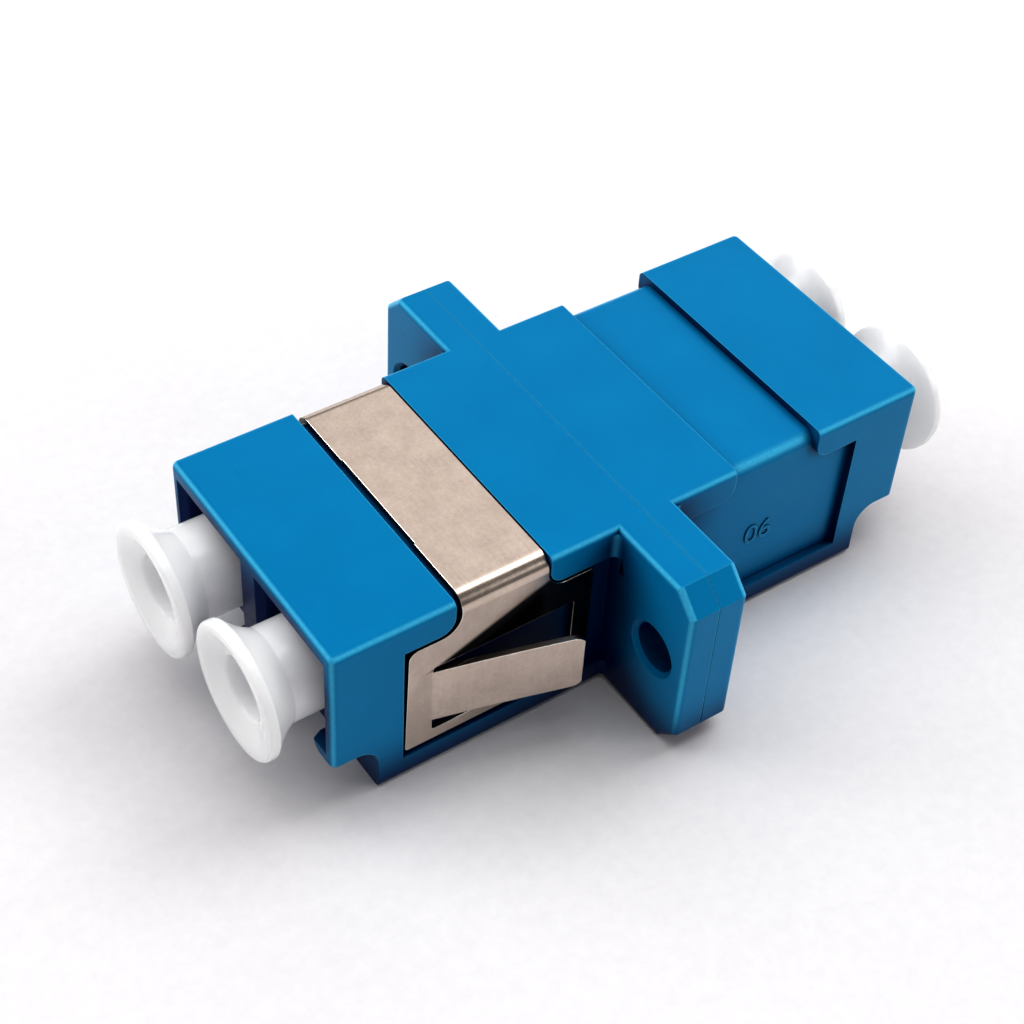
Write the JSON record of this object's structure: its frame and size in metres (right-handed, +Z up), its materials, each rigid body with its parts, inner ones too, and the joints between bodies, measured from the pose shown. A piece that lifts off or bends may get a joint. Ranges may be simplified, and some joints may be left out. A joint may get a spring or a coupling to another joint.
{
  "type": "lc duplex fibre adapter",
  "caption": "Blue flanged LC duplex fibre adapter with a folded spring clip, split sleeves inside and pull-out white dust caps.",
  "frame": {"origin": "midway between the two screw holes, on the plane where the two housing halves are welded", "axes": "+X along the fibres to the end without the clip, +Y across the port pair, +Z up, away from the latch side"},
  "size_m": [0.0338, 0.022, 0.0088],
  "materials": {
    "blue_plastic": "satin moulded, fine matt grain",
    "stainless": "bright rolled stainless sheet",
    "ceramic": "polished white zirconia",
    "white_plastic": "soft white polyethylene"
  },
  "bodies": {
    "adapter": {"housing_front": "blue_plastic", "housing_rear": "blue_plastic", "spring_clip": "stainless", "split_sleeve_a": "ceramic", "split_sleeve_b": "ceramic"},
    "cap_front_a": {"dust_cap_front_a": "white_plastic"},
    "cap_front_b": {"dust_cap_front_b": "white_plastic"},
    "cap_rear_a": {"dust_cap_rear_a": "white_plastic"},
    "cap_rear_b": {"dust_cap_rear_b": "white_plastic"}
  },
  "joints": [
    {"name": "pull_front_a", "type": "slide", "parent": "adapter", "child": "cap_front_a", "axis": [-1, 0, 0], "range_m": [0, 0.014]},
    {"name": "pull_front_b", "type": "slide", "parent": "adapter", "child": "cap_front_b", "axis": [-1, 0, 0], "range_m": [0, 0.014]},
    {"name": "pull_rear_a", "type": "slide", "parent": "adapter", "child": "cap_rear_a", "axis": [1, 0, 0], "range_m": [0, 0.014]},
    {"name": "pull_rear_b", "type": "slide", "parent": "adapter", "child": "cap_rear_b", "axis": [1, 0, 0], "range_m": [0, 0.014]}
  ]
}
